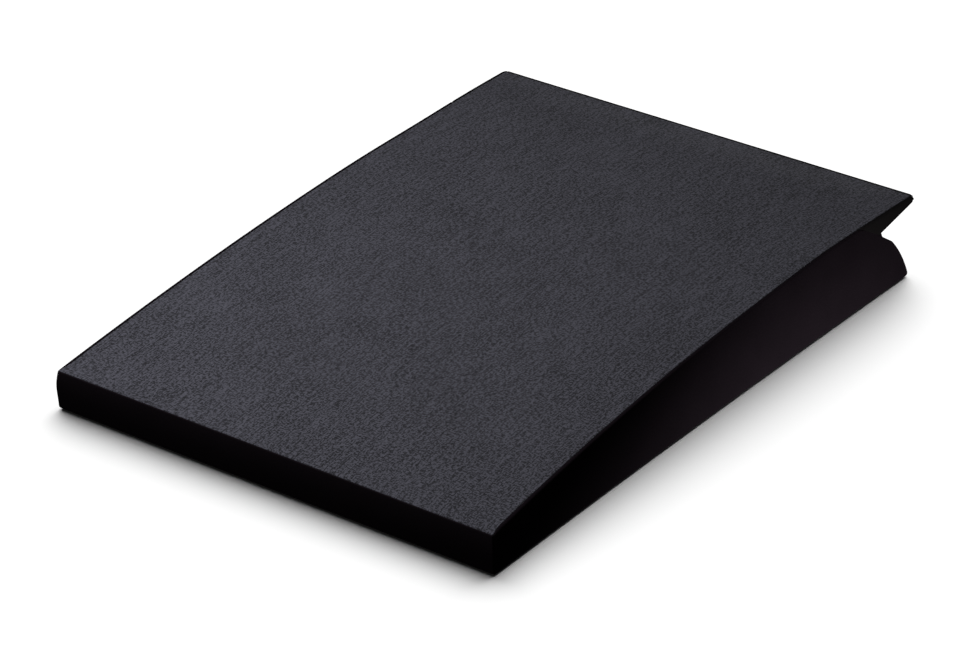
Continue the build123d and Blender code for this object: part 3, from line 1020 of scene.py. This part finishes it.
def rubber_material():
    """Black rubber with a fine grain and long scuffs."""
    material, main = start_material("black_rubber", roughness=0.62, specular_ior_level=0.35)
    place = object_place(main)
    grain = noise(place, 0.0009, 3.0)
    scuffs = noise(place, 0.02, 3.0, (4, 1, 1))
    share = calc("MULTIPLY_ADD", scuffs, 0.7, calc("MULTIPLY", grain, 0.4))
    colour = two_tone(share, RUBBER)
    paint(main, colour, spread(scuffs, 0.3, 0.7, 0.5, 0.78), bump(grain, 0.00008, 0.4))
    return material


def board_material():
    """The stiff sheet: pale fluted plastic with a slight scuffed haze."""
    material, main = start_material("fluted_plastic", roughness=0.5, specular_ior_level=0.4)
    place = object_place(main)
    flutes = wave(place, "X", 0.0045)
    haze = noise(place, 0.015, 4.0)
    share = calc("MULTIPLY_ADD", flutes, 0.25, haze)
    colour = two_tone(share, FLUTED_PLASTIC)
    paint(main, colour, spread(haze, 0.3, 0.7, 0.4, 0.62), bump(flutes, 0.0002, 0.5))
    return material


def metal_material():
    """Black enamel on a die-cast slider, worn a little paler where it is rubbed."""
    material, main = start_material("black_enamel", roughness=0.38, specular_ior_level=0.5)
    place = object_place(main)
    peel = noise(place, 0.0012, 2.0)
    rubbed = noise(place, 0.004, 4.0)
    worn = spread(rubbed, 0.56, 0.72)
    pointed = add(main.id_data, "ShaderNodeNewGeometry").outputs["Pointiness"]
    edges = spread(pointed, 0.52, 0.6)
    share = calc("MAXIMUM", calc("MULTIPLY", worn, 0.3), calc("MULTIPLY", edges, 0.5))
    colour = two_tone(share, ENAMEL)
    paint(main, colour, spread(rubbed, 0.3, 0.75, 0.3, 0.5), bump(peel, 0.00004, 0.5))
    return material


def coil_material():
    """The zip coils' nylon."""
    material, main = start_material("black_nylon", roughness=0.35, specular_ior_level=0.4)
    place = object_place(main)
    tone = noise(place, 0.003, 2.0)
    colour = two_tone(tone, NYLON)
    paint(main, colour, spread(tone, 0.3, 0.7, 0.3, 0.45))
    return material


def hook_and_loop_material():
    """The fuzz of a hook-and-loop tape."""
    material, main = start_material("hook_and_loop", roughness=0.95, specular_ior_level=0.1)
    place = object_place(main)
    tufts = cells(place, 900.0)
    colour = two_tone(tufts, TUFTS[::-1])
    paint(main, colour, normal=bump(tufts, 0.0007, 0.9))
    return material


def finish(piece, material):
    """Gives a piece or a CAD node its one material."""
    piece.data.materials.clear()
    piece.data.materials.append(material)


def dress(piece, material, slot, *nodes):
    """Gives a piece its material and the CAD nodes that it stands for. slot is not used."""
    finish(piece, material)
    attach(piece, "board")
    if nodes:
        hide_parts(*nodes)


# ---- camera, floor and light ----

def stand(name, data, place, direction):
    """A camera or a lamp at a place, pointing in a direction."""
    holder = link(bpy.data.objects.new(name, data))
    holder.location = place
    holder.rotation_mode = "QUATERNION"
    holder.rotation_quaternion = direction.to_track_quat("-Z", "Y")
    return holder


def make_camera():
    """A long lens from the near right, at the board's usual catalogue angle."""
    azimuth, elevation, distance = math.radians(36.11), math.radians(28.35), 3.9506
    right = Vector((math.cos(azimuth), math.sin(azimuth), 0))
    level_back = Vector((math.sin(azimuth), -math.cos(azimuth), 0))
    back = math.cos(elevation) * level_back + Vector((0, 0, math.sin(elevation)))
    aim = Vector((0, -0.004, 0)) - 0.01213 * right + 0.0172 * back.cross(right)
    camera = bpy.data.cameras.new("camera")
    camera.sensor_width = 36
    camera.lens = 152.77
    camera.clip_start = 0.1
    bpy.context.scene.camera = stand("camera", camera, aim + distance * back, -back)


def make_floor():
    """A pale floor that the board neither reflects nor is lit by."""
    mesh = bpy.data.meshes.new("floor")
    reach = 12
    corners = [(-reach, -reach, 0), (reach, -reach, 0), (reach, reach, 0), (-reach, reach, 0)]
    mesh.from_pydata(corners, [], [(0, 1, 2, 3)])
    floor = link(bpy.data.objects.new("floor", mesh))
    settings = {"roughness": 1.0, "specular_ior_level": 0.0, "base_color": (0.8, 0.8, 0.8, 1)}
    mesh.materials.append(start_material("pale_floor", **settings)[0])
    floor.visible_diffuse = False
    floor.visible_glossy = False
    return floor


def light(name, kind, place, aim, energy, floor, on_floor, **settings):
    """A lamp that lights either the floor alone or the board alone."""
    lamp = bpy.data.lights.new(name, kind)
    lamp.energy = energy
    for key, value in settings.items():
        setattr(lamp, key, value)
    holder = stand(name, lamp, place, Vector(aim) - Vector(place))
    receivers = bpy.data.collections.new(f"{name}_receivers")
    receivers.objects.link(floor)
    holder.light_linking.receiver_collection = receivers
    if not on_floor:
        receivers.collection_objects[0].light_linking.link_state = "EXCLUDE"


def make_lights(floor):
    """Softboxes for the board, a wide sky for its shadow, and a faint even world."""
    world = bpy.data.worlds.new("studio")
    world.use_nodes = True
    background = world.node_tree.nodes["Background"].inputs
    background["Color"].default_value = (1, 1, 1, 1)
    background["Strength"].default_value = 0.03
    bpy.context.scene.world = world
    bpy.context.scene.view_settings.view_transform = "Standard"
    light("floor_sky", "SUN", (-0.38, 0.56, 1), (0, 0, 0), 5.2, floor, True, angle=math.radians(72))
    light(
        "top_softbox", "AREA", (-0.54, -0.58, 1.27), (-0.1, -0.1, 0.05), 22, floor, False,
        shape="SQUARE", size=0.6,
    )
    light(
        "side_softbox", "AREA", (0.62, 0.11, 0.03), (0.25, 0.247, -0.65), 5.4, floor, False,
        shape="RECTANGLE", size=0.2, size_y=0.05, spread=math.radians(155),
    )
    light(
        "rear_softbox", "AREA", (-0.25, 1.5, 0.032), (0, 0.35, 0.032), 16, floor, False,
        shape="RECTANGLE", size=0.6, size_y=0.06,
    )


# ---- the board ----

def build():
    """Makes each visible piece, and finishes the CAD nodes that stay in view."""
    make_camera()
    floor = make_floor()
    make_lights(floor)

    melange = melange_weave()
    black = knit("black_stretch_cloth", BLACK)
    # The lip and the gussets get the black cloth painted lighter, for the lighter shading of their
    # front-turned faces.
    black_painted_lighter = knit("black_cloth_painted_lighter", BLACK_PAINTED_LIGHTER)
    backing = knit("black_backing_cloth", BACKING, pitch=0.0011, level=0.1)
    tape = knit("black_zip_tape", ZIP_TAPE, object_place, 0.0008, 0.1)
    thread = knit("black_thread", THREAD, object_place, 0.0004, 0.2)

    top = crossing_panel("top_cloth_panel", PATHS["top"], pressure=TOP_PRESSURE)
    dress(top, melange, "top_cloth", "top_panel")

    front = crossing_panel("front_cloth", PATHS["front"], pressure=PRESSURE)
    dress(front, black, "side_cloth", "front_panel")

    lip = crossing_panel("lip_cloth", PATHS["lip"], end="tuck")
    dress(lip, black_painted_lighter, "gusset_cloth", "lip_panel")
    length = PATHS["lip"].length + ROOT_TUCK

    base = crossing_panel("base_cloth", PATHS["base"])
    dress(base, backing, "base_cloth", "base_panel")

    for (piece, length), node in zip(rear_pieces(), ("rear_upper_panel", "rear_lower_panel")):
        dress(piece, black, "side_cloth", node)

    for side, sign in (("left", -1), ("right", 1)):
        panel, gusset = side_pieces(side, sign)
        dress(panel, black, "side_cloth", f"{side}_side_panel")
        dress(gusset, black_painted_lighter, "gusset_cloth", f"{side}_lip_gusset")

    coil = coil_material()
    for name, side in (("zip_coil_upper", -1), ("zip_coil_lower", 1)):
        dress(zip_coil(name, side), coil, "zip_coil", name)
    dress(zip_stitching(), thread, "zip_tape")
    dress(grip_strips(), rubber_material(), "grip_rubber", "grip_strips")

    firm = foam_material("firm_grey_foam", FIRM_FOAM)
    softer = foam_material("soft_pale_foam", SOFT_FOAM)
    for name, node, material, slot in (
        ("base_foam_block", "base_foam", firm, "base_foam"),
        ("upper_foam_layer", "upper_foam", softer, "upper_foam"),
        ("lip_foam_wedge", "lip_foam", softer, "upper_foam"),
    ):
        piece = foam_piece(name, node)
        dress(piece, material, slot, node)

    for material, names in (
        (board_material(), ("top_board",)),
        (hook_and_loop_material(), ("root_hook_tape", "root_loop_tape")),
        (tape, ("zip_tape_upper", "zip_tape_lower")),
        (metal_material(), ("zip_top_stops", "zip_bottom_stop", "zip_slider", "zip_pull")),
    ):
        for name in names:
            finish(NODES[name], material)


build()
